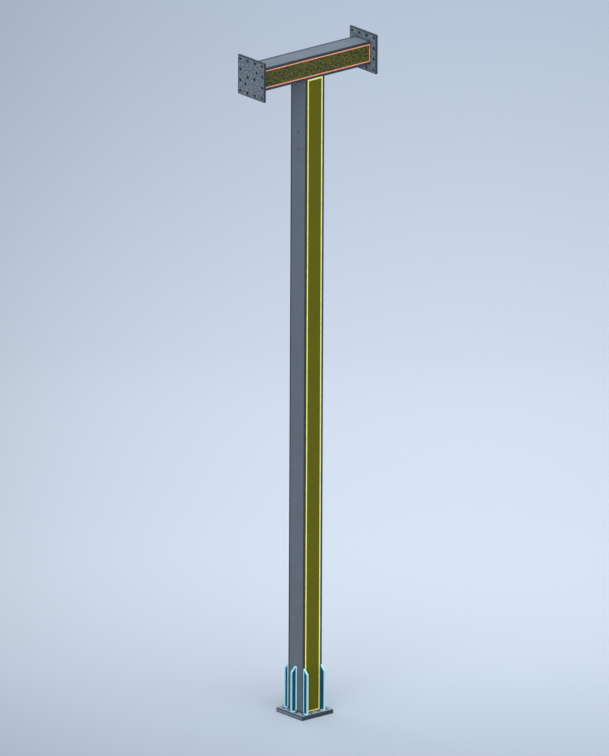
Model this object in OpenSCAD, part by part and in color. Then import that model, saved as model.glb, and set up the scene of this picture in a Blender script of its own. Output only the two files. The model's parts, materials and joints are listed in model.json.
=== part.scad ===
// Double cantilever gantry mast: a boxed H-section column on a drilled base plate with six
// gussets, and a short boxed crosshead on top whose end plates take the two cantilever booms.
//
// +X runs along the crosshead, +Y to the back and +Z up. The origin is the centre of the base
// plate's underside. Lengths are in millimetres.

/* [Overall] */
// Height of the crosshead's centre line above the underside of the base plate
crosshead_height = 9090; // [4000:10:12000]
// Length of the crosshead over the outer faces of its two end plates
crosshead_length = 1970; // [1200:10:3000]

/* [H section of the column and the crosshead] */
// Depth of the section over its two flanges
section_depth = 320; // [280:5:380]
// Width of each flange
flange_width = 310; // [280:5:360]
// Thickness of each flange
flange_thickness = 40; // [38:1:60]
// Thickness of the web
web_thickness = 21; // [12:1:40]
// Radius of the root fillets between the web and the flanges
root_radius = 27; // [12:1:35]

/* [Boxing plates] */
// Thickness of the plates that close the section into a box
boxing_thickness = 25; // [15:1:35]

/* [Base plate] */
// Thickness of the base plate
base_thickness = 55; // [30:1:90]
// Reach of the base plate past the larger side of the section
base_margin = 110; // [100:1:180]
// Distance from the line of the anchor holes to the edge of the base plate
base_edge_distance = 67.5; // [45:0.5:68]
// Anchor holes along each side of the base plate
base_holes_per_side = 4; // [2:2:4]
// Diameter of the anchor holes
base_hole_d = 36; // [22:1:42]
// Chamfer along the edges of the base plate and the end plates
arris = 3; // [1:0.5:6]

/* [Gussets] */
// Height of a gusset along the column
gusset_height = 625; // [300:5:1200]
// Reach of a gusset from the face of the column
gusset_reach = 80; // [75:1:95]
// Size of the sloping cut at the gusset's top outer corner
gusset_chamfer = 70; // [20:1:74]
// Thickness of a gusset
gusset_thickness = 25; // [12:1:26]
// Corner cut off at the gusset's root, which lets the column's base weld run past
gusset_snipe = 20; // [16:1:30]

/* [End plates] */
// Thickness of an end plate
end_plate_thickness = 30; // [20:1:50]
// Distance from the larger side of the section to the line of the boom bolts
boom_bolt_offset = 65; // [50:1:120]
// Distance from the line of the boom bolts to the edge of the end plate
boom_edge_distance = 50; // [30:1:80]
// Boom bolt holes along each side of an end plate
boom_holes_per_side = 4; // [3:1:5]
// Diameter of the boom bolt holes
boom_hole_d = 30; // [18:1:36]
// Diameter of the inspection holes at mid height, one on each side of the web
sight_hole_d = 30; // [16:1:50]
// Diameter of the two corner vents of an end plate
vent_d = 26; // [12:1:40]
// Steel left between a vent's rim and the corner of the box behind it
vent_clearance = 2; // [1:0.5:8]

/* [Bonding holes in the left flange of the column] */
// Diameter of the two small holes
bonding_hole_d = 14; // [8:1:20]
// Drop from the underside of the crosshead to the upper small hole
bonding_drop = 750; // [300:10:1500]
// Distance between the two small holes
bonding_spacing = 250; // [100:10:400]

/* [Welds] */
// Leg of the fillet welds round the ends of the column and the crosshead
main_leg = 12; // [8:1:14]
// Leg of the fillet welds along the gussets
gusset_leg = 10; // [5:1:11]
// Width and depth of the bevelled grooves that the flush joints are welded in
groove = 8; // [4:1:10]
// Height that the cap of a groove weld stands out of the flush face
cap_height = 2; // [1:0.5:4]
// Width by which a cap runs over each edge of its groove
cap_overlap = 2; // [0.5:0.5:3]

/* [Hidden] */
$fn = 64;
// Cutters run this far past the faces that they open
over = 1;

half_depth = section_depth / 2;
half_width = flange_width / 2;
// Half of the clear space between the flanges, which the boxing plates fill
half_gap = half_depth - flange_thickness;
// Half of the section's larger side, which the square plates are set out from
half_section = max(half_depth, half_width);

column_top = crosshead_height - half_depth;
column_length = column_top - base_thickness;
half_crosshead = crosshead_length / 2;
crosshead_inner = crosshead_length - 2 * end_plate_thickness;

base_size = 2 * (half_section + base_margin);
anchor_span = base_size - 2 * base_edge_distance;
boom_span = 2 * (half_section + boom_bolt_offset);
end_plate_size = boom_span + 2 * boom_edge_distance;

// Middle of the cell on each side of the web, and the place of the vents in its corners
cell_middle = (web_thickness / 2 + half_width - boxing_thickness) / 2;
vent_inset = vent_clearance + vent_d / 2;
vent_y = half_width - boxing_thickness - vent_inset;
vent_z = half_gap - vent_inset;

// A weld's cap is a slice of a round bar, as wide as the chord that it covers
cap_chord = groove + 2 * cap_overlap;
cap_radius = (cap_chord * cap_chord / 4 + cap_height * cap_height) / (2 * cap_height);

// Corners of a rectangle, each with the angle at which the outside quarter turn starts there
CORNERS = [[1, 1, 0], [-1, 1, 90], [-1, -1, 180], [1, -1, 270]];

STEEL = "#5e6874";
PLATE = "#636d79";
OLIVE = "#5e5e12";
MOTTLED = "#4e4f2c";
TEAL = "#165066";
WELD_GREY = "#3f4147";
WELD_YELLOW = "#f9f987";
WELD_SALMON = "#ff9f7e";
WELD_CYAN = "#99d3e7";

// ---- Outlines and shapes that several pieces share ----

// Root fillet in the first quadrant: a square less the disc that hollows it
module root_fillet() {
    difference() {
        square(root_radius);
        translate([root_radius, root_radius]) circle(r = root_radius);
    }
}

// The H: its depth runs along X, and the web's middle line is the X axis
module h_outline() {
    square([section_depth, web_thickness], center = true);
    for (side = [-1, 1])
        translate([side * (half_depth - flange_thickness / 2), 0])
            square([flange_thickness, flange_width], center = true);
    for (c = CORNERS)
        translate([-c[0] * half_gap, c[1] * web_thickness / 2]) rotate(c[2]) root_fillet();
}

// Square plate in the XY plane with its underside on z = 0 and every edge chamfered
module chamfered_plate(size, thickness) {
    intersection() {
        linear_extrude(thickness) chamfered_outline(size, size);
        translate([-size / 2, 0, thickness / 2]) rotate([90, 0, 90])
            linear_extrude(size) chamfered_outline(size, thickness);
        translate([0, size / 2, thickness / 2]) rotate([90, 0, 0])
            linear_extrude(size) chamfered_outline(size, thickness);
    }
}

// Rectangle with its four corners cut at 45 degrees
module chamfered_outline(width, height) {
    x = width / 2;
    y = height / 2;
    polygon([
        [x - arris, -y], [x, -y + arris], [x, y - arris], [x - arris, y],
        [-x + arris, y], [-x, y - arris], [-x, -y + arris], [-x + arris, -y]
    ]);
}

// Centres of holes along the four sides of a square, count to a side
function ring_points(count, span) = [
    for (i = [0 : count - 1], j = [0 : count - 1])
        if (min(i, j) == 0 || max(i, j) == count - 1)
            [(i / (count - 1) - 0.5) * span, (j / (count - 1) - 0.5) * span]
];

// Drill through a plate that lies on z = 0
module drill(point, diameter, thickness) {
    translate([point[0], point[1], -over]) cylinder(d = diameter, h = thickness + 2 * over);
}

// Boxing plate that stands on z = 0, outer face on y = 0 and facing -y, long edges bevelled
module boxing_plate(length) {
    linear_extrude(length) polygon([
        [-half_gap + groove, 0], [half_gap - groove, 0], [half_gap, groove],
        [half_gap, boxing_thickness], [-half_gap, boxing_thickness], [-half_gap, groove]
    ]);
}

// Section of a groove weld: the bevel's corner is the origin, the groove runs towards +x and
// +y, and the cap stands out on -y
module groove_outline() {
    polygon([[0, 0], [groove, 0], [0, groove]]);
    intersection() {
        translate([groove / 2, cap_radius - cap_height]) circle(r = cap_radius);
        translate([-cap_overlap, -cap_height]) square([cap_chord, cap_height]);
    }
}

// Cutter for the same bevel, open past both faces
module bevel_cut(length) {
    linear_extrude(length)
        polygon([[-over, -over], [groove + over, -over], [-over, groove + over]]);
}

// The two seams along a boxing plate that stands on z = 0 with its outer face on y = 0
module seams(length) {
    for (side = [0, 1]) mirror([side, 0, 0])
        translate([-half_gap, 0, 0]) linear_extrude(length) groove_outline();
}

// Section of a fillet weld in the corner between two plates
module fillet_outline(leg) {
    polygon([[0, 0], [leg, 0], [0, leg]]);
}

// Fillet weld along +x from the origin, on z = 0 and against the plane y = 0, on its +y side
module fillet_run(length, leg) {
    rotate([90, 0, 90]) linear_extrude(length) fillet_outline(leg);
}

// Fillet weld round a rectangular foot that stands on z = 0: runs joined by quarter cones
module fillet_ring(size_x, size_y, leg) {
    for (c = CORNERS) {
        run = c[2] % 180 == 0 ? size_x : size_y;
        translate([c[0] * size_x / 2, c[1] * size_y / 2, 0]) rotate(c[2]) {
            rotate_extrude(angle = 90) fillet_outline(leg);
            translate([-run, 0, 0]) fillet_run(run, leg);
        }
    }
}

// ---- Places that pieces are set out from ----

// Front face of the crosshead, with the piece's length along the crosshead
module on_crosshead_front(length) {
    translate([-length / 2, -half_width, crosshead_height]) rotate([0, 90, 0]) children();
}

// Outer face of the left end plate, with the piece's x along +Y and its y along +Z
module on_left_end() {
    translate([-half_crosshead, 0, crosshead_height]) rotate([90, 0, 90]) children();
}

// Root of the gusset in the middle of the left flange, which reaches towards -X
module at_left_mid() {
    translate([-half_depth, 0, base_thickness]) rotate(180) children();
}

// Root of the gusset on the left flange's front tip, flush with the flange's outer face
module at_left_front() {
    translate([-half_depth + gusset_thickness / 2, -half_width, base_thickness])
        rotate(-90) children();
}

// ---- Base plate and column ----

module base_plate() {
    color(PLATE) difference() {
        chamfered_plate(base_size, base_thickness);
        for (point = ring_points(base_holes_per_side, anchor_span))
            drill(point, base_hole_d, base_thickness);
    }
}

// Bevels across the column's top edges at the front and the back, for the weld to the crosshead
module head_bevels() {
    for (turn = [0, 180]) rotate(turn)
        translate([-half_depth - over, -half_width, column_top]) rotate([0, 90, 0])
            bevel_cut(section_depth + 2 * over);
}

module column_section() {
    color(STEEL) difference() {
        translate([0, 0, base_thickness]) linear_extrude(column_length) h_outline();
        head_bevels();
        for (i = [0, 1])
            translate([-half_depth - over, 0, column_top - bonding_drop - i * bonding_spacing])
                rotate([0, 90, 0])
                    cylinder(d = bonding_hole_d, h = flange_thickness + 2 * over);
    }
}

module column_front_plate() {
    color(OLIVE) difference() {
        translate([0, -half_width, base_thickness]) boxing_plate(column_length);
        head_bevels();
    }
}

module column_back_plate() {
    mirror([0, 1, 0]) column_front_plate();
}

// ---- Gussets ----

// Gusset that reaches along +x from its root on x = 0 and stands on z = 0
module gusset() {
    color(TEAL) translate([0, gusset_thickness / 2, 0]) rotate([90, 0, 0])
        linear_extrude(gusset_thickness) polygon([
            [0, gusset_snipe], [gusset_snipe, 0], [gusset_reach, 0],
            [gusset_reach, gusset_height - gusset_chamfer],
            [gusset_reach - gusset_chamfer, gusset_height], [0, gusset_height]
        ]);
}

// Gusset whose -y face is flush with the flange, with that edge of its root bevelled
module flush_gusset() {
    color(TEAL) difference() {
        gusset();
        translate([0, -gusset_thickness / 2, 0]) bevel_cut(gusset_height + over);
    }
}

module gusset_left_mid() { at_left_mid() gusset(); }
module gusset_right_mid() { mirror([1, 0, 0]) gusset_left_mid(); }
module gusset_left_front() { at_left_front() flush_gusset(); }
module gusset_right_front() { mirror([1, 0, 0]) gusset_left_front(); }
module gusset_left_back() { mirror([0, 1, 0]) gusset_left_front(); }
module gusset_right_back() { rotate(180) gusset_left_front(); }

// ---- Crosshead ----

module crosshead_section() {
    color(STEEL) translate([-crosshead_inner / 2, 0, crosshead_height]) rotate([0, 90, 0])
        linear_extrude(crosshead_inner) h_outline();
}

module crosshead_front_plate() {
    color(MOTTLED) on_crosshead_front(crosshead_inner) boxing_plate(crosshead_inner);
}

module crosshead_back_plate() {
    mirror([0, 1, 0]) crosshead_front_plate();
}

module left_end_plate() {
    color(PLATE) on_left_end() difference() {
        chamfered_plate(end_plate_size, end_plate_thickness);
        for (point = ring_points(boom_holes_per_side, boom_span))
            drill(point, boom_hole_d, end_plate_thickness);
        for (side = [-1, 1]) {
            drill([side * cell_middle, 0], sight_hole_d, end_plate_thickness);
            drill([side * vent_y, -side * vent_z], vent_d, end_plate_thickness);
        }
    }
}

module right_end_plate() {
    mirror([1, 0, 0]) left_end_plate();
}

// ---- Welds ----

module column_base_weld() {
    color(WELD_GREY) translate([0, 0, base_thickness])
        fillet_ring(section_depth, flange_width, main_leg);
}

// Groove welds where the faces are flush, and between them fillets under the crosshead
module column_head_weld() {
    run = flange_width - 2 * (groove + cap_overlap);
    color(WELD_GREY) for (turn = [0, 180]) rotate(turn) translate([0, 0, column_top]) {
        translate([half_depth, run / 2, 0]) mirror([0, 0, 1]) rotate(-90)
            fillet_run(run, main_leg);
        translate([-half_depth, -half_width, 0]) rotate([0, 90, 0])
            linear_extrude(section_depth) groove_outline();
    }
}

// From the top of the base weld to the lower edge of the head weld's cap
module column_front_seams() {
    color(WELD_YELLOW) translate([0, -half_width, base_thickness + main_leg])
        seams(column_length - main_leg - groove - cap_overlap);
}

module column_back_seams() {
    mirror([0, 1, 0]) column_front_seams();
}

// Between the toes of the two end welds
module crosshead_front_seams() {
    run = crosshead_inner - 2 * main_leg;
    color(WELD_SALMON) on_crosshead_front(run) seams(run);
}

module crosshead_back_seams() {
    mirror([0, 1, 0]) crosshead_front_seams();
}

module left_end_weld() {
    color(WELD_GREY) translate([-crosshead_inner / 2, 0, crosshead_height]) rotate([0, 90, 0])
        fillet_ring(section_depth, flange_width, main_leg);
}

module right_end_weld() {
    mirror([1, 0, 0]) left_end_weld();
}

// Fillets on the +y side of a gusset: one up the column and one along the base plate
module side_fillets() {
    color(WELD_CYAN) translate([0, gusset_thickness / 2, 0]) {
        translate([0, 0, gusset_snipe]) linear_extrude(gusset_height - gusset_snipe)
            fillet_outline(gusset_leg);
        translate([gusset_snipe, 0, 0]) fillet_run(gusset_reach - gusset_snipe, gusset_leg);
    }
}

module mid_gusset_weld() {
    side_fillets();
    mirror([0, 1, 0]) side_fillets();
}

// The flush side has a groove weld up the column in place of a fillet
module flush_gusset_weld() {
    side_fillets();
    color(WELD_CYAN) translate([0, -gusset_thickness / 2, 0]) {
        translate([0, 0, gusset_snipe]) linear_extrude(gusset_height - gusset_snipe)
            groove_outline();
        translate([gusset_snipe, 0, 0]) mirror([0, 1, 0])
            fillet_run(gusset_reach - gusset_snipe, gusset_leg);
    }
}

module weld_left_mid() { at_left_mid() mid_gusset_weld(); }
module weld_right_mid() { mirror([1, 0, 0]) weld_left_mid(); }
module weld_left_front() { at_left_front() flush_gusset_weld(); }
module weld_right_front() { mirror([1, 0, 0]) weld_left_front(); }
module weld_left_back() { mirror([0, 1, 0]) weld_left_front(); }
module weld_right_back() { rotate(180) weld_left_front(); }

base_plate();
column_section();
column_front_plate();
column_back_plate();
gusset_left_mid();
gusset_right_mid();
gusset_left_front();
gusset_right_front();
gusset_left_back();
gusset_right_back();
crosshead_section();
crosshead_front_plate();
crosshead_back_plate();
left_end_plate();
right_end_plate();
column_base_weld();
column_head_weld();
column_front_seams();
column_back_seams();
crosshead_front_seams();
crosshead_back_seams();
left_end_weld();
right_end_weld();
weld_left_mid();
weld_right_mid();
weld_left_front();
weld_right_front();
weld_left_back();
weld_right_back();
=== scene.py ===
# %% [markdown]
# # Dressing a double cantilever gantry mast
#
# A double cantilever gantry carries signs or signals over the lanes on both sides of one mast.
# This is the mast: a heavy H section, closed into a box by two long plates, on a base plate with
# six gussets, and a short crosshead of the same make whose end plates take the two booms.
#
# The steelwork already exists as an exact CAD frame, so nothing here moves or resizes it. The
# lesson gives it what a shop gives steel: rippled weld beads, sprayed paint, and the brushed
# stripe coats that painters lay over every weld, edge and hole, where sprayed paint thins out.

import json
import math
from functools import partial

import bpy
import numpy as np
from mathutils import Matrix, Vector


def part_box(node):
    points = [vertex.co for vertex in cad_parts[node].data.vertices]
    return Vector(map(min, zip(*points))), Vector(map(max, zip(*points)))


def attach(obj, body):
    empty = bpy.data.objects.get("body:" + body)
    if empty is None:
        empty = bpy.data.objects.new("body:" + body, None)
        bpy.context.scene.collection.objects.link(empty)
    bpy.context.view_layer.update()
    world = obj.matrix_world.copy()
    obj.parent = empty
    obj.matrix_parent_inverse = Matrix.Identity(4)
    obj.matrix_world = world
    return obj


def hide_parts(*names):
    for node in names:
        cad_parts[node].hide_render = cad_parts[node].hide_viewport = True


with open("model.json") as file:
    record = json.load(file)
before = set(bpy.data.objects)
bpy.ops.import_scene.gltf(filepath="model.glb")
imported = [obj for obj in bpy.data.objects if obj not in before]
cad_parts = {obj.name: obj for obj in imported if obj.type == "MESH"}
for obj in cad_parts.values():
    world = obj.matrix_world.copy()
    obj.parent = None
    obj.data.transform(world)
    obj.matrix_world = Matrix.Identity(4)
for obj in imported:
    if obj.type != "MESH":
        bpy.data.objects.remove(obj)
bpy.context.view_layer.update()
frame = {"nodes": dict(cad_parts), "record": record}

# %% [markdown] ## Units and sizes  Blender works in metres and a fabricator in millimetres, so
# one constant turns one into the other.

# %% Millimetres, axes, and the boxes that give the places
MM = 0.001
X, Y, Z = 0, 1, 2


def middle_and_half(node):
    """Centre and half size of a CAD piece's box, as two numpy arrays."""
    low, high = (np.array(corner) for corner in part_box(node))
    return (low + high) / 2, (high - low) / 2


column_mid, column_half = middle_and_half("column_section")
crosshead_mid, crosshead_half = middle_and_half("crosshead_section")
base_mid, base_half = middle_and_half("base_plate")
base_top = base_mid[Z] + base_half[Z]
column_top = column_mid[Z] + column_half[Z]

# %% [markdown]
# ## The camera
#
# Engineers look at steelwork in parallel projection, where equal members stay equal on the page
# and the far end plate is as large as the near one. An orthographic camera's size is the height
# of mast that it takes in, and its distance only has to clear the steel.

# %% Camera
VIEW_AZIMUTH = math.radians(-39.97)
VIEW_ELEVATION = math.radians(18.18)
VIEW_ROLL = math.radians(0.267)
VIEW_HEIGHT = 10.072
AIM_HEIGHT = 4.687
AIM_SIDE = -25 * MM
CAMERA_DISTANCE = 40.0


def new_object(name, data):
    """An object with this data, linked into the scene."""
    thing = bpy.data.objects.new(name, data)
    bpy.context.scene.collection.objects.link(thing)
    return thing


towards_camera = Vector((
    math.sin(VIEW_AZIMUTH) * math.cos(VIEW_ELEVATION),
    -math.cos(VIEW_AZIMUTH) * math.cos(VIEW_ELEVATION),
    math.sin(VIEW_ELEVATION),
))
to_the_right = Vector((math.cos(VIEW_AZIMUTH), math.sin(VIEW_AZIMUTH), 0))
aim = Vector((0, 0, AIM_HEIGHT)) + to_the_right * AIM_SIDE

camera_data = bpy.data.cameras.new("camera")
camera_data.type = "ORTHO"
camera_data.ortho_scale = VIEW_HEIGHT
camera_data.clip_end = 500
camera = new_object("camera", camera_data)
camera.location = aim + towards_camera * CAMERA_DISTANCE
turned = towards_camera.to_track_quat("Z", "Y").to_matrix() @ Matrix.Rotation(VIEW_ROLL, 3, "Z")
camera.rotation_euler = turned.to_euler()
bpy.context.scene.camera = camera
print("camera at", [round(c, 2) for c in camera.location])

# %% [markdown]
# ## Two small helpers for materials
#
# Paint makers and web pages give colours in sRGB, while a renderer adds up light in linear
# values, so one function turns a hex code into linear numbers. The other adds a shader node, sets
# it and wires it in a single call, so that long networks read like sums.

# %% Linear colours, and one function that adds any node
def linear(code, strength=1.0):
    """A hex colour as linear RGBA: c / 12.92 near black, else ((c + 0.055) / 1.055) ** 2.4,
    times strength."""
    srgb = np.array([int(code[i:i + 2], 16) for i in (1, 3, 5)]) / 255
    rgb = np.where(srgb <= 0.04045, srgb / 12.92, ((srgb + 0.055) / 1.055) ** 2.4)
    return (*(rgb * strength), 1.0)


def add(tree, kind, inputs=(), operation=None, **settings):
    """Adds a shader node. inputs fills its sockets, in order from a list, or by number or name
    from a dict, with a value, a socket, or a node, which stands for its first output. operation
    is what a maths node does, and settings are its other attributes."""
    node = tree.nodes.new("ShaderNode" + kind)
    if operation:
        node.operation = operation
    for name, value in settings.items():
        setattr(node, name, value)
    sockets = inputs.items() if isinstance(inputs, dict) else enumerate(inputs)
    for key, value in sockets:
        if isinstance(value, bpy.types.Node):
            value = value.outputs[0]
        if isinstance(value, bpy.types.NodeSocket):
            tree.links.new(value, node.inputs[key])
        else:
            node.inputs[key].default_value = value
    return node


print("mid grey #808080 is", round(linear("#808080")[0], 3), "in linear light")

# %% [markdown]
# ## Where the stripe coat lies
#
# A painter's brush follows edges, so the coat needs to know how far each point is from the
# nearest edge. A mask painted by hand would be lost when a size changes, so this one is worked
# out: on a plate, every point of the surface lies on one of its faces, so its distance to that
# pair is nil, and the second smallest of its distances to the faces is its distance to an edge.
#
# The mast's plates come in mirrored pairs, so coordinates are folded over with an absolute value
# first, and one material serves the left and the right piece alike.

# %% Distances to the faces of a piece, folded over the mast's middle planes
def level_place(tree, node):
    """Object coordinates as P - c, where c is on the mast's axis at the piece's mid height."""
    centre = (0, 0, middle_and_half(node)[0][Z])
    place = add(tree, "TexCoord").outputs["Object"]
    return add(tree, "VectorMath", [place, centre], "SUBTRACT").outputs[0]


def folded_place(tree, node):
    """The same folded over the middle planes: |P - c|."""
    return add(tree, "VectorMath", [level_place(tree, node)], "ABSOLUTE").outputs[0]


def face_distances(tree, node, stretch=(1, 1, 1)):
    """Distance to each pair of faces, half - | |P - c| - m |, where m is how far out the piece's
    middle lies, times stretch. Three sockets."""
    middle, half = middle_and_half(node)
    out = (abs(middle[X]), abs(middle[Y]), 0)
    offset = add(tree, "VectorMath", [folded_place(tree, node), out], "SUBTRACT")
    away = add(tree, "VectorMath", [offset], "ABSOLUTE")
    inside = add(tree, "VectorMath", [tuple(half), away], "SUBTRACT")
    scaled = add(tree, "VectorMath", [inside, stretch], "MULTIPLY")
    return add(tree, "SeparateXYZ", [scaled]).outputs


def smallest(tree, *values):
    """The least of several sockets."""
    least = values[0]
    for value in values[1:]:
        least = add(tree, "Math", [least, value], "MINIMUM")
    return least


def second_smallest(tree, a, b, c):
    """The middle one of three sockets: max(min(a, b), min(max(a, b), c))."""
    low = add(tree, "Math", [a, b], "MINIMUM")
    high = add(tree, "Math", [a, b], "MAXIMUM")
    capped = add(tree, "Math", [high, c], "MINIMUM")
    return add(tree, "Math", [low, capped], "MAXIMUM")


# %% [markdown]
# ## The paint system
#
# The body coat is a flat epoxy loaded with flakes of micaceous iron ore, laid on by airless spray.
# It dries to a close orange peel, is a little cloudy where passes of the gun overlap, and shows
# pale flecks where flakes lie flat. The stripe coat goes on by brush: it is smoother and glossier,
# stands proud by its own thickness, has fine ridges left by the bristles, and a wavering edge.
#
# Both are layers of one material, mixed by the mask. Real flakes are a fraction of a millimetre
# and would vanish on a mast seen whole, so they are drawn 14 to 20 mm wide, and the orange peel
# at 9 mm.

# %% Patterns that both layers use
DOT_FEATHER = 0.06
MOTTLE_FEATHER = 0.02


def flakes(tree, place, spacing, share, size, scatter=1.0, dimensions="3D"):
    """1 on a share of strewn dots, which are size times as wide as the spacing, and 0 between
    them. A size over 1.2 fills whole cells, like patches that meet. A cell's colour also says
    where its dot lies, so it is scrambled before it picks the share."""
    cells = add(tree, "TexVoronoi", {"Vector": place, "Scale": 1 / spacing, "Randomness": scatter},
                voronoi_dimensions=dimensions)
    pick = add(tree, "TexWhiteNoise", {"Vector": cells.outputs["Color"]}).outputs["Value"]
    chosen = add(tree, "Math", [pick, share], "LESS_THAN")
    rim = size / 2
    far, near = rim + DOT_FEATHER, rim - DOT_FEATHER
    dot = add(tree, "MapRange", [cells.outputs["Distance"], far, near],
              interpolation_type="SMOOTHSTEP")
    return add(tree, "Math", [chosen, dot], "MULTIPLY")


def dabs(tree, place, width, height):
    """About half of the surface in upright dabs, where a noise drawn out along z is above its
    middle value."""
    drawn_out = add(tree, "VectorMath", [place, (1, 1, width / height)], "MULTIPLY")
    noise = add(tree, "TexNoise", {"Vector": drawn_out, "Scale": 1 / width, "Detail": 0})
    low, high = 0.5 - MOTTLE_FEATHER, 0.5 + MOTTLE_FEATHER
    return add(tree, "MapRange", [noise, low, high], interpolation_type="SMOOTHSTEP")


# %% Where the brush has been
BRUSH_WANDER = 2.5 * MM
BRUSH_WANDER_SPACING = 60 * MM
COAT_FEATHER = 2.5 * MM


def coat_mask(tree, distance, width):
    """1 inside the coat and 0 outside: a soft step where distance plus a wavering noise passes
    width."""
    place = add(tree, "TexCoord").outputs["Object"]
    waver = add(tree, "TexNoise", {"Vector": place, "Scale": 1 / BRUSH_WANDER_SPACING, "Detail": 3})
    shift = add(tree, "Math", [waver, 2 * BRUSH_WANDER, -BRUSH_WANDER], "MULTIPLY_ADD")
    reach = add(tree, "Math", [distance, shift], "ADD")
    far, near = width + COAT_FEATHER / 2, width - COAT_FEATHER / 2
    return add(tree, "MapRange", [reach, far, near], interpolation_type="SMOOTHSTEP")


# %% One material for a painted piece
CLOUD_SPACING = 420 * MM
CLOUD_DEPTH = 0.05
PEEL_SPACING = 9 * MM
PEEL_HEIGHT = 0.12 * MM
BRISTLE_SPACING = 3 * MM
STREAKS = (0.93, 1.05)
COAT_HEIGHT = 0.5 * MM
FLAT_ROUGHNESS = (0.54, 0.66)
COAT_ROUGHNESS = 0.42
PAINT_SPECULAR = 0.2
# A noise mostly keeps between these two values
NOISE_SPAN = (0.3, 0.7)


def two_colours(tree, place, pair):
    """The colour of a pair: its first where its pattern is 0, and its second where it is 1."""
    first, second, pattern = pair
    mixed = {0: pattern(tree, place), 6: linear(first), 7: linear(second)}
    return add(tree, "Mix", mixed, data_type="RGBA").outputs[2]


def shaded(tree, place, pair, noise, low, high):
    """A pair's colour scaled by a noise, from low to high."""
    colour = two_colours(tree, place, pair)
    shade = add(tree, "MapRange", [noise, *NOISE_SPAN, low, high])
    return add(tree, "VectorMath", {0: colour, 3: shade}, "SCALE").outputs[0]


def cloudy(tree, place, pair):
    """A pair's colour as the gun leaves it, paler and darker in slow clouds."""
    clouds = add(tree, "TexNoise", {"Vector": place, "Scale": 1 / CLOUD_SPACING, "Detail": 4})
    return shaded(tree, place, pair, clouds, 1 - CLOUD_DEPTH, 1 + CLOUD_DEPTH)


def bristle_noise(tree, place):
    """The fine noise of the ridges that bristles leave."""
    return add(tree, "TexNoise", {"Vector": place, "Scale": 1 / BRISTLE_SPACING, "Detail": 2})


def brushed(tree, place, pair):
    """A pair's colour as the brush leaves it, streaked by the bristles."""
    return shaded(tree, place, pair, bristle_noise(tree, place), *STREAKS)


def new_material(name):
    """An empty node material, with its tree and the socket of Object coordinates."""
    material = bpy.data.materials.new(name)
    material.use_nodes = True
    material.node_tree.nodes.clear()
    return material, material.node_tree, add(material.node_tree, "TexCoord").outputs["Object"]


def surfaced(material, colour, roughness, relief, specular):
    """The material, with its paint's surface. Epoxy has an IOR near 1.5, but pigment and flakes at
    a flat paint's surface break up most of the mirror reflection, so the specular level is below
    its usual half."""
    tree = material.node_tree
    bump = add(tree, "Bump", {"Strength": 1.0, "Distance": 1.0, "Height": relief})
    shader = add(tree, "BsdfPrincipled", {
        "Base Color": colour, "Roughness": roughness, "Normal": bump,
        "Metallic": 0.0, "IOR": 1.5, "Specular IOR Level": specular,
    })
    add(tree, "OutputMaterial", {"Surface": shader})
    return material


def painted(name, body, coat, mask_of, seam=None, seam_mask_of=None):
    """A material in layers. body, coat and seam are each a pair of colours and the pattern that
    mixes them. mask_of(tree) gives the socket that lays the coat over the body, and
    seam_mask_of(tree) the one that lays the seam's own stripe over both."""
    material, tree, place = new_material(name)
    mask = mask_of(tree)
    sprayed = cloudy(tree, place, body)
    stripe = brushed(tree, place, coat)
    colour = add(tree, "Mix", {0: mask, 6: sprayed, 7: stripe}, data_type="RGBA").outputs[2]
    if seam:
        layers = {0: seam_mask_of(tree), 6: colour, 7: brushed(tree, place, seam)}
        colour = add(tree, "Mix", layers, data_type="RGBA").outputs[2]

    peel = add(tree, "TexNoise", {"Vector": place, "Scale": 1 / PEEL_SPACING, "Detail": 2})
    flat = add(tree, "MapRange", [peel, *NOISE_SPAN, *FLAT_ROUGHNESS])
    roughness = add(tree, "Mix", {0: mask, 2: flat, 3: COAT_ROUGHNESS}, data_type="FLOAT")
    peel_relief = add(tree, "Math", [peel, PEEL_HEIGHT], "MULTIPLY")
    relief = add(tree, "Math", [mask, COAT_HEIGHT, peel_relief], "MULTIPLY_ADD")
    return surfaced(material, colour, roughness, relief, PAINT_SPECULAR)


# %% [markdown]
# ## Colours of the mast
#
# Grey on the sections and the drilled plates, olive on the column's boxing plates, a mottle of
# olive and charcoal on the crosshead's, and dark teal on the gussets. The stripe coats are
# chosen to show, so that an inspector sees at a glance that none was missed: charcoal on the
# grey, pale yellow and salmon round the boxing plates, and pale cyan on the gussets.

# %% Colours, in pairs with the pattern that mixes them
# The band of painted light below the crosshead: none this far below the column's top, full this far
PAINTED_LIGHT_REACH = (170 * MM, 120 * MM)
# Strewn pale flakes, sparse enough to leave the sections calm
few_flakes = partial(flakes, spacing=45 * MM, share=0.12, size=0.30)
# Small patches that meet, on a fifth of a coat, or on three tenths on the base plate's charcoal, which
# also paints shade on its front and back sides
specks = partial(flakes, spacing=15 * MM, share=0.2, size=1.3)
more_specks = partial(flakes, spacing=15 * MM, share=0.3, size=1.3)
# The crosshead's mottle, dabbed on with a block brush held upright
mottle = partial(dabs, width=17 * MM, height=28 * MM)


def flakes_and_painted_light_below_crosshead(tree, place):
    """Strewn pale flakes, and more of them in a band just below the crosshead: painted light, which
    lightens the column's head where the crosshead shades it.
    """
    lifted_flakes = flakes(tree, place, spacing=38 * MM, share=0.55, size=0.52)
    height = add(tree, "SeparateXYZ", [place]).outputs["Z"]
    none, full = (column_top - reach for reach in PAINTED_LIGHT_REACH)
    near_top = add(tree, "MapRange", [height, none, full])
    lifted_flakes = add(tree, "Math", [lifted_flakes, near_top], "MULTIPLY")
    return add(tree, "Math", [few_flakes(tree, place), lifted_flakes], "MAXIMUM")


def even_flakes(tree, place):
    """Pale flakes spread evenly over a face turned to x, as on the end plates, which were coated
    lying flat, where flakes float apart before the paint sets."""
    _, y, z = add(tree, "SeparateXYZ", [place]).outputs
    face = add(tree, "CombineXYZ", [y, z])
    return flakes(tree, face, 44 * MM, share=0.95, size=0.42, scatter=0.75, dimensions="2D")


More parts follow.
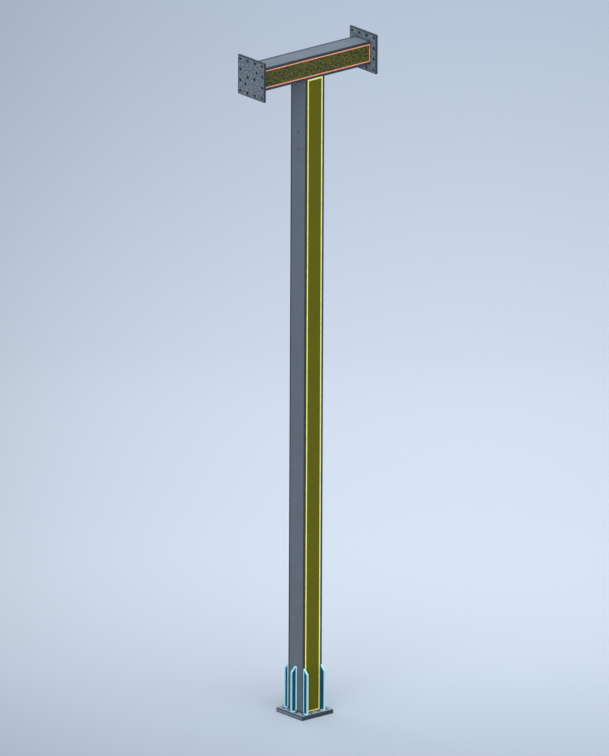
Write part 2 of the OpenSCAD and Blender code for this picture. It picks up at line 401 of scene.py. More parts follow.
def flakes_and_painted_light_on_top(tree, place):
    """Few flakes on the sides, and the whole top in the pale second colour: painted light, which
    lifts the base plate's top against the shade that the column and gussets cast on it."""
    height = add(tree, "SeparateXYZ", [place]).outputs["Z"]
    top = add(tree, "Math", [height, base_top - MM], "GREATER_THAN")
    return add(tree, "Math", [few_flakes(tree, place), top], "MAXIMUM")


GREY = ("#66727f", "#7f8c9a", few_flakes)
# The column's pale flakes gather in a band of painted light just below the crosshead
COLUMN_GREY_WITH_PAINTED_LIGHT = ("#66727f", "#95a2b0", flakes_and_painted_light_below_crosshead)
PLATE_GREY = ("#65717e", "#93a0af", even_flakes)
# The base plate's grey is lighter than the other greys, and its top takes the pale second colour
# whole: painted light, which lifts the base against the shade of the column and gussets
BASE_GREY_WITH_PAINTED_LIGHT = ("#73808d", "#8f9ba9", flakes_and_painted_light_on_top)
OLIVE = ("#5d5d00", "#616103", specks)
MOTTLED = ("#606000", "#2e3136", mottle)
TEAL = ("#125069", "#3a454d", specks)
CHARCOAL = ("#3a3c42", "#145064", specks)
BASE_CHARCOAL_AND_PAINTED_SHADE = ("#3a3c42", "#145064", more_specks)
YELLOW = ("#ffff8f", "#fcfc80", specks)
SALMON = ("#ffa687", "#ff9d7c", specks)
CYAN = ("#a6eaff", "#9de4fb", specks)

# %% [markdown]
# ## Masks of the different pieces
#
# - The sections are coated along the flanges' edges, over their tips and at their ends. The
#   stripe is wider along the back edges, which the painter reached over the steel to coat.
# - Along the boxing plates' seams the stripe takes both sides of the weld, so the plate carries
#   one half of it and the flange tip next to it the other half.
# - The drilled plates are coated along every edge and round every hole. The base plate's front
#   and back sides are charcoal whole, a painted shade that darkens them.
# - The gussets are coated along every edge, with the sloping top as one more face. The middle
#   and front ones have their narrow outer face coated whole, and the back ones have a wider
#   stripe on their sides.
#
# Where one edge needs a wider stripe than another, its distance is stretched by less than 1
# before the least is taken, and by more than 1 for a narrower one. So one width serves them all.

# %% Masks of sections and boxing plates
SECTION_COAT = 16 * MM
COLUMN_BACK_COAT = 24 * MM
CROSSHEAD_BACK_COAT = 40 * MM
CROSSHEAD_END_COAT = 26 * MM
SEAM_COAT = 10 * MM
END_COAT = 18 * MM
# A seam's stripe on the flange tips: section, boxing plate, axis across the plate, and width
COLUMN_SEAM = ("column_section", "column_front_plate", X, 8 * MM)
CROSSHEAD_SEAM = ("crosshead_section", "crosshead_front_plate", Z, 4 * MM)


def boxing_mask(node, across, along):
    """Mask of a boxing plate: SEAM_COAT wide along its seams, and END_COAT wide at its ends."""
    stretch = [1.0, 1.0, 1.0]
    stretch[along] = SEAM_COAT / END_COAT

    def mask(tree):
        away = face_distances(tree, node, stretch)
        return coat_mask(tree, smallest(tree, away[across], away[along]), SEAM_COAT)
    return mask


def front_and_back(tree, section, back_coat):
    """Distances to a section's front face, y + half, and to its back face, (half - y) times
    SECTION_COAT / back_coat, which makes the coat there back_coat wide."""
    half = middle_and_half(section)[1][Y]
    place = add(tree, "TexCoord").outputs["Object"]
    y = add(tree, "SeparateXYZ", [place]).outputs["Y"]
    front = add(tree, "Math", [y, half], "ADD")
    back = add(tree, "Math", [half, y], "SUBTRACT")
    back = add(tree, "Math", [back, SECTION_COAT / back_coat], "MULTIPLY")
    return front, back


def crosshead_mask(tree):
    """Mask of the crosshead: its flange edges, and its ends."""
    to_end = SECTION_COAT / CROSSHEAD_END_COAT
    ends = face_distances(tree, "crosshead_section", (to_end, 1, 1))[X]
    sides = front_and_back(tree, "crosshead_section", CROSSHEAD_BACK_COAT)
    return coat_mask(tree, smallest(tree, ends, *sides), SECTION_COAT)


def seam_mask(section, plate, axis, width):
    """Mask of the flange tip's half of a seam's stripe: within width of the plate's edge, counted
    from the section's middle."""
    def mask(tree):
        out = add(tree, "SeparateXYZ", [folded_place(tree, section)]).outputs[axis]
        return coat_mask(tree, out, middle_and_half(plate)[1][axis] + width)
    return mask


# %% Round the two bonding holes
BONDING_DROP = 750 * MM
BONDING_SPACING = 250 * MM
BONDING_COAT = 12 * MM


def column_mask(tree):
    """Mask of the column: its flange edges and ends, and a spot over each bonding hole, which the
    left flange has on its middle line: the distance to a hole's mouth, stretched."""
    place = add(tree, "TexCoord").outputs["Object"]
    near = [face_distances(tree, "column_section")[Z]]
    near += front_and_back(tree, "column_section", COLUMN_BACK_COAT)
    for drop in (BONDING_DROP, BONDING_DROP + BONDING_SPACING):
        mouth = (-column_half[X], 0, column_top - drop)
        reach = add(tree, "VectorMath", [place, mouth], "DISTANCE").outputs["Value"]
        near.append(add(tree, "Math", [reach, SECTION_COAT / BONDING_COAT], "MULTIPLY"))
    return coat_mask(tree, smallest(tree, *near), SECTION_COAT)


# %% Sections and boxing plates
# The column's paint carries painted light in a band just below the crosshead
column_steel = painted("sprayed_epoxy_grey_column_with_painted_light", COLUMN_GREY_WITH_PAINTED_LIGHT, CHARCOAL, column_mask,
                       YELLOW, seam_mask(*COLUMN_SEAM))
crosshead_steel = painted("sprayed_epoxy_grey_crosshead", GREY, CHARCOAL, crosshead_mask,
                          SALMON, seam_mask(*CROSSHEAD_SEAM))
column_boxing = painted("sprayed_epoxy_olive", OLIVE, YELLOW,
                        boxing_mask("column_front_plate", X, Z))
crosshead_boxing = painted("sprayed_epoxy_mottled", MOTTLED, SALMON,
                           boxing_mask("crosshead_front_plate", Z, X))
print("paints:", [material.name for material in bpy.data.materials])

# %% [markdown]
# ### Round the holes
#
# Twelve holes stand in a ring on each plate, four to a side. A triangle wave of the hole pitch
# folds all of them onto one hole, and the points inside the ring are left out, so one distance
# serves for all twelve. The end plates have four holes more: two sight holes at mid height, and
# two vents in opposite corners of the box, which let hot gas and water out. Half a turn maps
# those onto each other, so they are folded by the sign of y.

# %% Rings
HOLES_PER_SIDE = 4
PLATE_COAT = 14 * MM
BASE_HOLE_COAT = 6 * MM
END_HOLE_COAT = 9 * MM
# Added to a distance to keep a place out of the coat, since it is wider than any stripe
FAR = 1.0
# The sight hole and the vent at positive y: (y, z) from the end plate's middle, and the radius
INNER_HOLES = (((70.25 * MM, 0), 15 * MM), ((115 * MM, -105 * MM), 13 * MM))


def bolts(name):
    """Spacing of the corner holes and their radius, from the record's mount, in metres."""
    dims = next(mount["dims"] for mount in frame["record"]["mounts"] if mount["name"] == name)
    return dims["spacing_x_mm"] * MM, dims["hole_r_mm"] * MM


def ring_distance(tree, across, up, span):
    """Distance from the centre of the nearest hole of the ring: each coordinate is folded by a
    triangle wave of the pitch, and points inside the ring get FAR added."""
    pitch = span / (HOLES_PER_SIDE - 1)
    folds = []
    for along in (across, up):
        shifted = add(tree, "Math", [along, pitch / 2], "ADD")
        folds.append(add(tree, "Math", [shifted, pitch / 2], "PINGPONG"))
    from_hole = add(tree, "CombineXYZ", folds)
    reach = add(tree, "VectorMath", [from_hole], "LENGTH").outputs["Value"]
    outermost = add(tree, "Math", [across, up], "MAXIMUM")
    inner = add(tree, "Math", [outermost, pitch], "LESS_THAN")
    return add(tree, "Math", [inner, FAR, reach], "MULTIPLY_ADD")


def inner_distances(tree, node):
    """Distances from the sight holes and the vents: (y, z) times the sign of y, then the length
    from the one hole of each pair that is left. Each is paired with the hole's radius."""
    _, y, z = add(tree, "SeparateXYZ", [level_place(tree, node)]).outputs
    sign = add(tree, "Math", [y], "SIGN")
    signed_z = add(tree, "Math", [z, sign], "MULTIPLY")
    out_y = add(tree, "Math", [y], "ABSOLUTE")
    flat = add(tree, "CombineXYZ", [out_y, signed_z])
    found = []
    for (hole_y, hole_z), radius in INNER_HOLES:
        away = add(tree, "VectorMath", [flat, (hole_y, hole_z, 0)], "DISTANCE")
        found.append((away.outputs["Value"], radius))
    return found


# %% Drilled plates
def drilled_mask(node, plane, mount, hole_coat, stretch, painted_shade_sides=(), inner=False):
    """Mask of a drilled plate: near an edge, within hole_coat of the rim of a hole, or on a pair of
    sides that is coated whole, a painted shade that darkens those sides."""
    def mask(tree):
        away = face_distances(tree, node, stretch)
        near = [second_smallest(tree, *away), *(away[axis] for axis in painted_shade_sides)]
        axes = add(tree, "SeparateXYZ", [folded_place(tree, node)]).outputs
        span, radius = bolts(mount)
        holes = [(ring_distance(tree, axes[plane[0]], axes[plane[1]], span), radius)]
        holes += inner_distances(tree, node) if inner else []
        for reach, hole_radius in holes:
            scale = PLATE_COAT / (hole_radius + hole_coat)
            near.append(add(tree, "Math", [reach, scale], "MULTIPLY"))
        return coat_mask(tree, smallest(tree, *near), PLATE_COAT)
    return mask


# The base plate's front and back sides are charcoal whole: painted shade, which darkens them
base_coat_and_shade_mask = drilled_mask("base_plate", (X, Y), "base_bolts", BASE_HOLE_COAT,
                         stretch=(1, 1, 1.3), painted_shade_sides=(Y,))
base_steel = painted("sprayed_epoxy_base_plate_painted_light_and_shade", BASE_GREY_WITH_PAINTED_LIGHT, BASE_CHARCOAL_AND_PAINTED_SHADE, base_coat_and_shade_mask)
end_mask = drilled_mask("left_end_plate", (Y, Z), "left_boom_bolts", END_HOLE_COAT,
                        stretch=(0.5, 1, 1), inner=True)
end_steel = painted("sprayed_epoxy_end_plate", PLATE_GREY, CHARCOAL, end_mask)

# %% Gussets
# Reach axis, and the coat's width on the sides, on the narrow outer face, and up the root
GUSSETS = {
    "mid": (X, (9 * MM, 13 * MM, 13 * MM)),
    "front": (Y, (12 * MM, 13 * MM, 18 * MM)),
    "back": (Y, (20 * MM, 10 * MM, 20 * MM)),
}


def gusset_slope(node, axis):
    """Reach plus height at the sloping edge of a gusset, where their sum is the same all along:
    the largest sum over the mesh's corners, with the reach folded to one side."""
    corners = frame["nodes"][node].data.vertices
    return max(abs(corner.co[axis]) + corner.co[Z] for corner in corners)


def gusset_mask(node, axis, coats):
    """Mask of a gusset: near an edge between its sides, its outer face and its slope, or near its
    root. The slope's distance is (limit - reach - height) / root 2."""
    side = 1 - axis
    middle, half = middle_and_half(node)
    width, outer_face_width, root_width = coats
    thin = [1.0, 1.0, 1.0]
    thin[side] = width / outer_face_width

    def mask(tree):
        place = add(tree, "TexCoord").outputs["Object"]
        folded = add(tree, "VectorMath", [place], "ABSOLUTE")
        axes = add(tree, "SeparateXYZ", [folded]).outputs
        reach, across, height = axes[axis], axes[side], axes[Z]
        outer = add(tree, "Math", [abs(middle[axis]) + half[axis], reach], "SUBTRACT")
        total = add(tree, "Math", [reach, height], "ADD")
        below = add(tree, "Math", [gusset_slope(node, axis), total], "SUBTRACT")
        slope = add(tree, "Math", [below, math.sqrt(0.5)], "MULTIPLY")
        edge = second_smallest(tree, face_distances(tree, node, thin)[side], outer, slope)

        # The coat at the root stays off the corner gussets' inner sides, which face the seams
        root_plane = abs(middle[axis]) - half[axis]
        from_root = add(tree, "Math", [reach, root_plane], "SUBTRACT")
        root = add(tree, "Math", [from_root, width / root_width], "MULTIPLY")
        outward_side = abs(middle[side]) + half[side] - MM
        inward = add(tree, "Math", [across, outward_side], "LESS_THAN")
        root = add(tree, "Math", [inward, FAR, root], "MULTIPLY_ADD")
        return coat_mask(tree, smallest(tree, edge, root), width)
    return mask


gusset_steel = {
    where: painted(f"sprayed_epoxy_teal_{where}", TEAL, CYAN,
                   gusset_mask(f"gusset_left_{where}", axis, coats))
    for where, (axis, coats) in GUSSETS.items()
}
print("gusset paints:", list(gusset_steel))

# %% Hand the materials to the CAD pieces
finishes = {
    "base_plate": base_steel,
    "column_section": column_steel,
    "crosshead_section": crosshead_steel,
}
for where in ("front", "back"):
    finishes[f"column_{where}_plate"] = column_boxing
    finishes[f"crosshead_{where}_plate"] = crosshead_boxing
for side in ("left", "right"):
    finishes[f"{side}_end_plate"] = end_steel
    for where, material in gusset_steel.items():
        finishes[f"gusset_{side}_{where}"] = material
for node, material in finishes.items():
    for slot in frame["nodes"][node].material_slots:
        slot.material = material
print("dressed", len(finishes), "CAD pieces")

# %% [markdown]
# ## Weld beads
#
# A weld bead is a row of small frozen pools, each overlapping the last, so its surface carries
# crescent ripples. Bump alone would leave a knife-straight silhouette, so the beads are real
# meshes: an outline is drawn at each station along the joint, and its rounded face swells and
# shrinks with the ripples. The CAD's plain fillets stay in the frame for the sums, and these
# stand for them.
#
# The face of a bead runs across from toe to toe as t goes from 0 to 1. Its height there is
# crown * 4t(1 - t) for the roundness, plus ripple * |sin(pi * phase)| * sin(pi * t), where the
# phase grows by one for each ripple and lags towards the toes, which bends the ripples into
# crescents.

# %% The rippled face
RIPPLE_PITCH = 9 * MM
SAMPLES_PER_RIPPLE = 4
LEAST_STEPS = 8
CRESCENT_LAG = 0.45
FACE_POINTS = 7
# How far across the face each of its points lies, from toe to toe
ACROSS = np.linspace(0, 1, FACE_POINTS)[None, :]
# Slow waves that push the ripples apart and together: depth, length, and share of the seed
DRIFTS = ((0.35, 43 * MM, 1.0), (0.25, 17 * MM, 2.3))


def ripple(along, seed):
    """Ripple height from 0 to 1, at distances along given as a column, for each point ACROSS. Slow
    sines with seeded phases make the pools as uneven as a hand's."""
    drift = sum(depth * np.sin(along / length + turn * seed) for depth, length, turn in DRIFTS)
    phase = along / RIPPLE_PITCH + drift - CRESCENT_LAG * (2 * ACROSS - 1) ** 2
    return np.abs(np.sin(np.pi * phase)) * np.sin(np.pi * ACROSS)


def stations_between(start, end):
    """Points from start to end, a quarter of a ripple apart, and their distances along."""
    start, end = np.array(start), np.array(end)
    length = np.linalg.norm(end - start)
    count = max(int(length / (RIPPLE_PITCH / SAMPLES_PER_RIPPLE)), LEAST_STEPS) + 1
    share = np.linspace(0, 1, count)
    return start + share[:, None] * (end - start), share * length


# %% Outlines of the two kinds of bead
CROWN = 1.2 * MM
CAP_CROWN = 1.5 * MM
RIPPLE = 0.45 * MM
RUN_OUT = 10 * MM
RUN_OUT_LEAST = 0.45
LEG_WAVER, LEG_WAVE = 0.04, 33 * MM
OVERLAP_WAVER, OVERLAP_WAVE = 0.3, 29 * MM
BURIED = 0.2 * MM


def fade(along):
    """Runs a bead out at each end: least + (1 - least) * smooth(distance to the end / RUN_OUT)."""
    left = np.clip(np.minimum(along, along.max() - along) / RUN_OUT, 0, 1)
    return RUN_OUT_LEAST + (1 - RUN_OUT_LEAST) * left * left * (3 - 2 * left)


def face_height(along, crown, seed, ends):
    """Height of a bead's rounded, rippled face over the straight line from toe to toe, times ends,
    which is its fade, or 1 where it has no end."""
    return (crown * 4 * ACROSS * (1 - ACROSS) + RIPPLE * ripple(along, seed)) * ends


def fillet_outline(along, seed, ends, leg):
    """Outline of a fillet in its corner: toe (leg, 0) to toe (0, leg), bulged along the diagonal,
    and back through the corner. Arrays of shape stations x points."""
    size = leg * (1 - LEG_WAVER * (1 + np.sin(along / LEG_WAVE + seed)) / 2)
    lift = face_height(along, CROWN, seed, ends)
    out = size * (1 - ACROSS) + lift * math.sqrt(0.5)
    up = size * ACROSS + lift * math.sqrt(0.5)
    corner = np.zeros_like(along)
    return np.hstack([out, corner]), np.hstack([up, corner])


def cap_outline(along, seed, ends, groove, overlap):
    """Outline of a groove weld: a low cap over the groove, then down through the groove's corner.
    The joint's flush face is up = 0, and the cap stands out on the up side."""
    reach = overlap * (1 - OVERLAP_WAVER + OVERLAP_WAVER * np.sin(along / OVERLAP_WAVE + seed))
    out = -reach + ACROSS * (groove + 2 * reach)
    up = face_height(along, CAP_CROWN, seed, ends)
    buried_out = np.array([[groove, 0.0, 0.0]]) + 0 * along
    buried_up = np.array([[-BURIED, -groove, -BURIED]]) + 0 * along
    return np.hstack([out, buried_out]), np.hstack([up, buried_up])


# %% Sweeping an outline along a joint
def sweep(root, out_way, up_way, outline, closed=False):
    """Grid of points root + out * out_way + up * up_way, one row to a station, closed round the
    outline. Returns vertices and faces, with end caps on an open run."""
    out, up = outline
    grid = root[:, None, :] + out[..., None] * out_way[:, None, :] + up[..., None] * up_way[:, None, :]
    rows, points = out.shape
    last = rows if closed else rows - 1
    i = np.arange(last)[:, None]
    j = np.arange(points)[None, :]
    i_next, j_next = (i + 1) % rows, (j + 1) % points
    faces = np.stack([i * points + j, i * points + j_next,
                      i_next * points + j_next, i_next * points + j], axis=-1).reshape(-1, 4)
    caps = [] if closed else [list(range(points))[::-1],
                              list(range((rows - 1) * points, rows * points))]
    return grid.reshape(-1, 3), faces, caps


def signed_volume(vertices, faces):
    """Sum over the quads, as two triangles each, of a . (b x c) / 6: positive when they face out."""
    a, b, c, d = (vertices[faces[:, k]] for k in range(4))
    first = np.einsum("ij,ij->i", a, np.cross(b, c))
    second = np.einsum("ij,ij->i", a, np.cross(c, d))
    return (first + second).sum() / 6


SHARP_ANGLE = math.radians(50)


def weld_piece(runs, material, slot, *stands_for):
    """One object from a list of swept runs, each turned to face outwards, in place of CAD welds.
    It has the first weld's name, with bead for weld."""
    name = "bead_" + stands_for[0].removeprefix("weld_").removesuffix("_weld")
    vertices, faces, count = [], [], 0
    for run_vertices, run_faces, caps in runs:
        # Volume is measured about the run's own middle, so that open ends hardly count
        turned_in = signed_volume(run_vertices - run_vertices.mean(0), run_faces) < 0
        quads = run_faces[:, ::-1] if turned_in else run_faces
        caps = [cap[::-1] for cap in caps] if turned_in else caps
        vertices.append(run_vertices)
        faces += (quads + count).tolist() + [[corner + count for corner in cap] for cap in caps]
        count += len(run_vertices)
    mesh = bpy.data.meshes.new(name)
    mesh.from_pydata(np.vstack(vertices).tolist(), [], faces)
    mesh.shade_smooth()
    mesh.set_sharp_from_angle(angle=SHARP_ANGLE)
    mesh.materials.append(material)
    piece = new_object(name, mesh)
    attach(piece, "root")
    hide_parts(*stands_for)
    print(name, "has", len(faces), "faces")


# %% [markdown]
# ### The coat over the beads
#
# Beads are brushed first and most thickly of all, so they wear the stripe coat alone. The ring
# welds at the foot and at the crosshead's ends pass both the charcoal flanges and the boxing
# plates, so where they pass a plate its own stripe goes on over them. One kind of fillet does
# without: in the nook between a corner gusset and the yellow seam, 15 mm away, two stripes would
# run into each other, so the gusset's own teal is left to cover it.

# %% Brushed weld materials
BEAD_ROUGHNESS = (0.36, 0.48)
BEAD_SPECULAR = 0.3
BRISTLE_HEIGHT = 0.1 * MM
HAIR = 0.2 * MM
NOOK_FOOT = 18 * MM


def brushed_weld(name, coat, other=None, other_mask_of=None):
    """Brushed enamel over a bead: the coat's own two colours, streaked by the bristles. other is
    the colour pair that shows instead where other_mask_of(tree) is 1."""
    material, tree, place = new_material(name)
    colour = brushed(tree, place, coat)
    if other:
        over, mask = two_colours(tree, place, other), other_mask_of(tree)
        colour = add(tree, "Mix", {0: mask, 6: colour, 7: over}, data_type="RGBA").outputs[2]
    bristles = bristle_noise(tree, place)
    gloss = add(tree, "MapRange", [bristles, *NOISE_SPAN, *BEAD_ROUGHNESS])
    relief = add(tree, "Math", [bristles, BRISTLE_HEIGHT], "MULTIPLY")
    return surfaced(material, colour, gloss, relief, BEAD_SPECULAR)


def inner_upright(tree):
    """1 on the fillets in the nook between a corner gusset and the yellow seam: less far out in x
    than the gusset's inner side, beyond the flange tips in y, and above the base plate's bead."""
    middle, half = middle_and_half("gusset_left_front")
    place = add(tree, "TexCoord").outputs["Object"]
    folded = add(tree, "VectorMath", [place], "ABSOLUTE")
    x, y, z = add(tree, "SeparateXYZ", [folded]).outputs
    nook = add(tree, "Math", [x, abs(middle[X]) - half[X] + HAIR], "LESS_THAN")
    outside = add(tree, "Math", [y, column_half[Y] - MM], "GREATER_THAN")
    upright = add(tree, "Math", [z, base_top + NOOK_FOOT], "GREATER_THAN")
    both = add(tree, "Math", [nook, outside], "MULTIPLY")
    return add(tree, "Math", [both, upright], "MULTIPLY")


RING_SEAM = 4 * MM


def ring_seam_mask(section, *seam):
    """Mask of a seam's stripe on a ring weld: where the seam's own mask is 1, and no further out
    in y than RING_SEAM, which is the half of the bead that leans on the boxing plate."""
    along_seam = seam_mask(section, *seam)

    def mask(tree):
        out = add(tree, "SeparateXYZ", [folded_place(tree, section)]).outputs[Y]
        leaning = coat_mask(tree, out, middle_and_half(section)[1][Y] + RING_SEAM)
        return add(tree, "Math", [along_seam(tree), leaning], "MULTIPLY")
    return mask


column_end_weld = brushed_weld("brushed_enamel_column_ends", CHARCOAL,
                               YELLOW, ring_seam_mask(*COLUMN_SEAM))
crosshead_end_weld = brushed_weld("brushed_enamel_crosshead_ends", CHARCOAL,
                                  SALMON, ring_seam_mask(*CROSSHEAD_SEAM))
yellow_weld = brushed_weld("brushed_enamel_yellow", YELLOW)
salmon_weld = brushed_weld("brushed_enamel_salmon", SALMON)
cyan_weld = brushed_weld("brushed_enamel_cyan", CYAN, TEAL, inner_upright)
print("paints and enamels:", len(bpy.data.materials))

# %% [markdown]
# ### Straight runs
#
# A straight bead needs only its two ends and two directions: which way its outline's x and y
# point. The places come from the boxes of the CAD welds that the beads stand for.

# %% Runs of the two kinds
def straight_run(start, end, out_way, up_way, seed, outline, *sizes):
    """A straight bead from start to end. A fillet's two ways point straight out of the faces that
    it joins. A groove weld's out_way goes across the groove, and its up_way out of the flush
    face."""
    root, along = stations_between(start, end)
    along = along[:, None]
    ways = np.array([[out_way], [up_way]], float)
    return sweep(root, *ways, outline(along, seed, fade(along), *sizes))


# %% Seams of the boxing plates
weld_mid, weld_half = middle_and_half("column_front_seams")
plate_mid, plate_half = middle_and_half("column_front_plate")
# How far out in y the flush face lies, the groove's depth, and how far its cap laps over it
flush = abs(plate_mid[Y]) + plate_half[Y]
groove = flush - (abs(weld_mid[Y]) - weld_half[Y])
overlap = weld_half[X] - plate_half[X]
groove_weld = (cap_outline, groove, overlap)
print("groove and overlap, mm:", round(groove / MM, 2), round(overlap / MM, 2))


def seam_beads(member, along, across, turns, material, slot):
    """The seams of a member's boxing plates, front and back. They run along one axis, one on
    each side of the plate across another. turns makes the seeds."""
    low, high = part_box(f"{member}_front_seams")
    middle, half = middle_and_half(f"{member}_front_plate")
    for label, side in (("front", -1), ("back", 1)):
        runs = []
        for end in (-1, 1):
            start, inward = middle.copy(), np.zeros(3)
            start[along], start[Y] = low[along], side * flush
            start[across] += end * half[across]
            inward[across] = -end
            stop = start.copy()
            stop[along] = high[along]
            seed = turns[0] * side + turns[1] * end
            runs.append(straight_run(start, stop, inward, (0, side, 0), seed, *groove_weld))
        weld_piece(runs, material, slot, f"{member}_{label}_seams")


seam_beads("column", Z, X, (3, 1), yellow_weld, "yellow_weld")
seam_beads("crosshead", X, Z, (5, 2), salmon_weld, "salmon_weld")

# %% [markdown]
# ### Welds that go all the way round
#
# Where the column stands on its base plate and the crosshead meets its end plates, the bead turns
# every corner. At a corner the root stays on the section's edge while the outline swings through
# a quarter turn, so the stations carry their own outward direction.

# %% Rings
CORNER_STEPS = 9


def ring_stations(half_x, half_y):
    """Stations round a rectangle: along each side, then a quarter turn at its far corner. Root
    points, outward directions and distances along, for a rectangle in its own plane."""
    roots, outs, alongs, gone = [], [], [], 0.0
    corners = [(half_x, half_y), (-half_x, half_y), (-half_x, -half_y), (half_x, -half_y)]
    for k in range(4):
        start, end = np.array(corners[k]), np.array(corners[(k + 1) % 4])
        side, distance = stations_between(start, end)
        angle = math.pi / 2 * (k + 1)
        outs.append(np.tile([math.cos(angle), math.sin(angle)], (len(side) - 1, 1)))
        roots.append(side[:-1])
        alongs.append(gone + distance[:-1])
        gone += distance[-1]
        turn = angle + np.linspace(0, math.pi / 2, CORNER_STEPS)[:-1]
        outs.append(np.stack([np.cos(turn), np.sin(turn)], axis=1))
        roots.append(np.tile(end, (len(turn), 1)))
        alongs.append(gone + np.linspace(0, RIPPLE_PITCH, len(turn), endpoint=False))
        gone += RIPPLE_PITCH
    return np.vstack(roots), np.vstack(outs), np.concatenate(alongs)


def ring_weld(centre, half, u, v, up_way, leg, seed):
    """A fillet round a section at centre, whose sides run along the axes u and v, standing on the
    plate that faces up_way."""
    flat_root, flat_out, along = ring_stations(half[u], half[v])
    basis = np.eye(3)[[u, v]]
    root = np.array(centre) + flat_root @ basis
    outline = fillet_outline(along[:, None], seed, 1.0, leg)
    return sweep(root, flat_out @ basis, np.array([up_way]), outline, closed=True)


leg = middle_and_half("column_base_weld")[1][X] - column_half[X]
foot_ring = ring_weld((0, 0, base_top), column_half, X, Y, (0, 0, 1), leg, 1.0)
weld_piece([foot_ring], column_end_weld, "charcoal_weld", "column_base_weld")
for label, side in (("left", -1), ("right", 1)):
    end_middle = (side * crosshead_half[X], 0, crosshead_mid[Z])
    end_ring = ring_weld(end_middle, crosshead_half, Z, Y, (-side, 0, 0), leg, 2.0 + side)
    weld_piece([end_ring], crosshead_end_weld, "charcoal_weld", f"{label}_end_weld")

# %% Column to crosshead
head_run = column_half[Y] - groove - overlap
runs = []
for side in (-1, 1):
    front = (side * column_half[X], -head_run, column_top)
    back = (side * column_half[X], head_run, column_top)
    runs.append(straight_run(front, back, (side, 0, 0), (0, 0, -1), 7.0 + side, fillet_outline, leg))
    left = (-column_half[X], side * flush, column_top)
    right = (column_half[X], side * flush, column_top)
    runs.append(straight_run(left, right, (0, 0, -1), (0, side, 0), 9.0 + side, *groove_weld))
weld_piece(runs, column_end_weld, "charcoal_weld", "column_head_weld")

# %% [markdown]
# ### The gussets
#
# Each gusset is welded up the column and along the base plate on both sides. The four on the
# flange tips are flush with the flange on their outer side, so there the upright bead is a groove
# weld.

# %% Welds of one gusset
SNIPE = 20 * MM
gusset_leg = middle_and_half("weld_left_mid")[1][Y] - middle_and_half("gusset_left_mid")[1][Y]
fillet = (fillet_outline, gusset_leg)


def gusset_runs(node, root, reach_way, side_way, flush_side, seed):
    """Runs of one gusset. root is the foot of its middle plane on the column's face, reach_way
    points away from the column, and side_way across its thickness, towards its outer side. Runs
    start past the snipe, the cut corner that lets the column's own base weld through."""
    root, reach_way, side_way = (np.array(v) for v in (root, reach_way, side_way))
    _, half = middle_and_half(node)
    thick = np.abs(side_way) @ half
    reach = 2 * np.abs(reach_way) @ half
    height = 2 * half[Z]
    up = np.array([0, 0, 1.0])
    runs = []
    for k, side in enumerate((-1, 1)):
        foot = root + side * thick * side_way
        low, high = foot + up * SNIPE, foot + up * height
        if side == 1 and flush_side:
            runs.append(straight_run(low, high, reach_way, side_way, seed + k, *groove_weld))
        else:
            runs.append(straight_run(low, high, reach_way, side * side_way, seed + k, *fillet))
        near, far = foot + reach_way * SNIPE, foot + reach_way * reach
        runs.append(straight_run(near, far, side * side_way, up, seed + 2 + k, *fillet))
    return runs


# %% Gussets all round
tip_out = abs(middle_and_half("gusset_left_front")[0][X])
for label, side in (("left", -1), ("right", 1)):
    foot = (side * column_half[X], 0, base_top)
    runs = gusset_runs("gusset_left_mid", foot, (side, 0, 0), (0, 1, 0), False, 11.0 + side)
    weld_piece(runs, cyan_weld, "cyan_weld", f"weld_{label}_mid")
    for where, face in (("front", -1), ("back", 1)):
        foot = (side * tip_out, face * column_half[Y], base_top)
        runs = gusset_runs("gusset_left_front", foot, (0, face, 0), (side, 0, 0), True,
                           13.0 + side + 4 * face)
        weld_piece(runs, cyan_weld, "cyan_weld", f"weld_{label}_{where}")

# %% [markdown]
# ## Floor, sky and light
#
# The mast stands on a pale floor that fades into itself, with painted light in its colour:
# brightest along one line, and dimmer to the sides, near and far. A pale floor would throw a lot of
# light back up the steel, so it is pale only where the camera or a reflection sees it, and a mid
# grey for the light that bounces. Five soft suns and an even sky light the steel. The strongest
# is above and the others stand round it, so that the box reads as a box from every side. The
# front left one passes beside the crosshead's arm, which would otherwise shade the column's head.

# %% Floor
FLOOR_REACH = 120.0
floor_mesh = bpy.data.meshes.new("floor")
quarters = ((-1, -1), (1, -1), (1, 1), (-1, 1))
corners = [(x * FLOOR_REACH, y * FLOOR_REACH, -MM) for x, y in quarters]
floor_mesh.from_pydata(corners, [], [(0, 1, 2, 3)])
floor = new_object("floor", floor_mesh)

# %% Floor paint
def seen_rays(tree):
    """1 for rays from the camera, off glossy faces or through glass, 0 for light that bounces."""
    rays = add(tree, "LightPath").outputs
    glossy, through = rays["Is Glossy Ray"], rays["Is Transmission Ray"]
    mirrored = add(tree, "Math", [glossy, through], "MAXIMUM")
    return add(tree, "Math", [rays["Is Camera Ray"], mirrored], "MAXIMUM")


FLOOR_BOUNCE = 0.3
# Painted light in the floor's colour: shades from the near to the far depth, brightest between
# them, divided by the light that falls there
DEPTH = (-3.0, 31.0)
SHADES = ((0.00, "#bbc8da"), (0.12, "#cedbec"), (0.21, "#d9e5f6"), (0.34, "#dae6f7"),
          (0.54, "#d1ddee"), (1.00, "#b8c5d8"))
FLOOR_LIGHT = 1.28
# Its painted light dims with the square of the distance from its brightest line, down to a least
BRIGHT_SIDE = 2.3
SIDE_FALL = 0.0047
LEAST_SIDE = 0.80

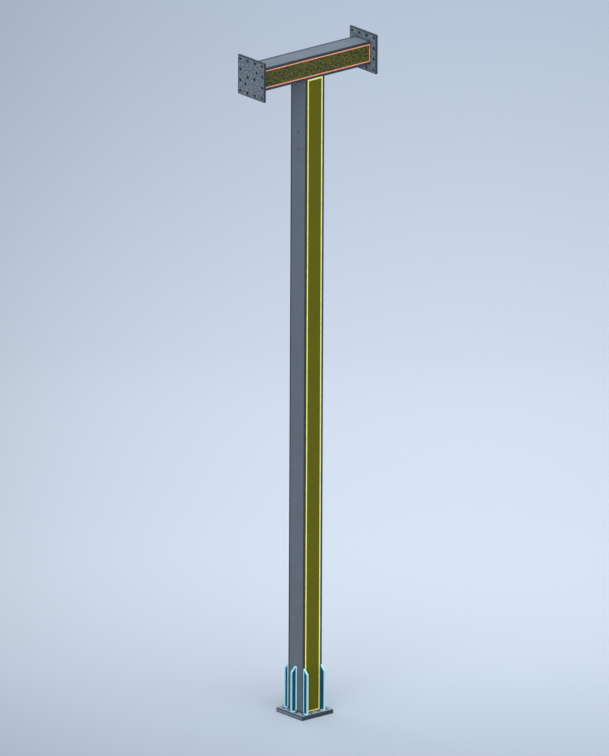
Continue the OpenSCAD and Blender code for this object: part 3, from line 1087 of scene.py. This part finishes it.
floor_paint, tree, place = new_material("floor_paint")
turned_place = add(tree, "Mapping", {0: place, "Rotation": (0, 0, -VIEW_AZIMUTH)})
across, depth, _ = add(tree, "SeparateXYZ", [turned_place]).outputs
depth_share = add(tree, "MapRange", [depth, *DEPTH])
ramp = add(tree, "ValToRGB", [depth_share])
ramp.color_ramp.interpolation = "CARDINAL"
while len(ramp.color_ramp.elements) < len(SHADES):
    ramp.color_ramp.elements.new(0.5)
for element, (position, shade) in zip(ramp.color_ramp.elements, SHADES):
    element.position = position
    element.color = linear(shade, 1 / FLOOR_LIGHT)
off_side = add(tree, "Math", [across, BRIGHT_SIDE], "SUBTRACT")
off_squared = add(tree, "Math", [off_side, off_side], "MULTIPLY")
dim = add(tree, "Math", [off_squared, -SIDE_FALL, 1.0], "MULTIPLY_ADD")
dim = add(tree, "Math", [dim, LEAST_SIDE], "MAXIMUM")
pale = add(tree, "VectorMath", {0: ramp.outputs[0], 3: dim}, "SCALE")
grey = (FLOOR_BOUNCE, FLOOR_BOUNCE, FLOOR_BOUNCE, 1)
colour = add(tree, "Mix", {0: seen_rays(tree), 6: grey, 7: pale}, data_type="RGBA")
shader = add(tree, "BsdfDiffuse", {"Color": colour.outputs[2]})
add(tree, "OutputMaterial", {"Surface": shader})
floor_mesh.materials.append(floor_paint)

# %% Sky
SKY_STRENGTH = 0.42
world = bpy.data.worlds.new("sky")
world.use_nodes = True
bpy.context.scene.world = world
tree = world.node_tree
tree.nodes.clear()
grey = (SKY_STRENGTH, SKY_STRENGTH, SKY_STRENGTH, 1)
colour = add(tree, "Mix", {0: seen_rays(tree), 6: grey, 7: linear("#bcc9db")}, data_type="RGBA")
background = add(tree, "Background", {"Color": colour.outputs[2], "Strength": 1.0})
add(tree, "OutputWorld", {"Surface": background})

# %% Suns
# The way to each, the brightness it gives a white face square to it, and its width in degrees
SUNS = {
    "sun_above": ((-0.10, -0.25, 0.96), 0.52, 40),
    "sun_left": ((-0.85, -0.45, 0.27), 0.31, 40),
    "sun_front": ((-0.10, -0.93, 0.35), 0.25, 50),
    "sun_right": ((0.90, 0.20, 0.30), 0.20, 50),
    "sun_back": ((0.10, 0.90, 0.35), 0.31, 50),
}
for name, (towards, level, softness) in SUNS.items():
    data = bpy.data.lights.new(name, "SUN")
    data.energy = level * math.pi
    data.angle = math.radians(softness)
    lamp = new_object(name, data)
    lamp.rotation_euler = Vector(towards).to_track_quat("Z", "Y").to_euler()
print(len(SUNS), "suns and a sky of strength", SKY_STRENGTH)

# %% View settings
bpy.context.scene.view_settings.view_transform = "Standard"
